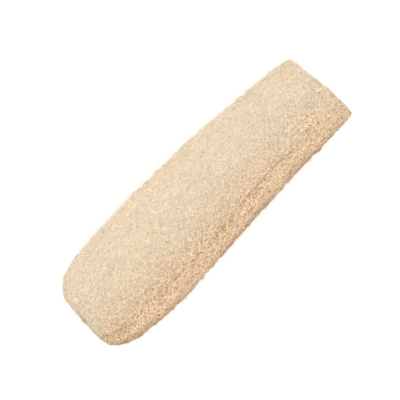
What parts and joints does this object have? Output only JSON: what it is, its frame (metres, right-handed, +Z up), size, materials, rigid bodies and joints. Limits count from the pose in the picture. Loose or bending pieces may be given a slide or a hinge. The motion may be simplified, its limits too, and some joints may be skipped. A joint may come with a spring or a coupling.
{
  "type": "natural loofah sponge",
  "caption": "Dried fibre skeleton of a luffa gourd: a long, fluted, slightly tapered scrubbing sponge with a raised fibre net, cut flat at both ends, with open seed channels inside.",
  "frame": {"origin": "on the surface that the sponge lies on, under the middle of its bounding box", "axes": "+X along the length, from the rounded stem end to the cleanly cut other end; +Z up; +Y across, towards the side away from the deep valley"},
  "size_m": [0.28, 0.0912, 0.0769],
  "materials": {
    "loofah_fibre": "matt, dry, warm cream plant fibre"
  },
  "bodies": {
    "root": {"loofah_sponge": "loofah_fibre"}
  },
  "joints": []
}
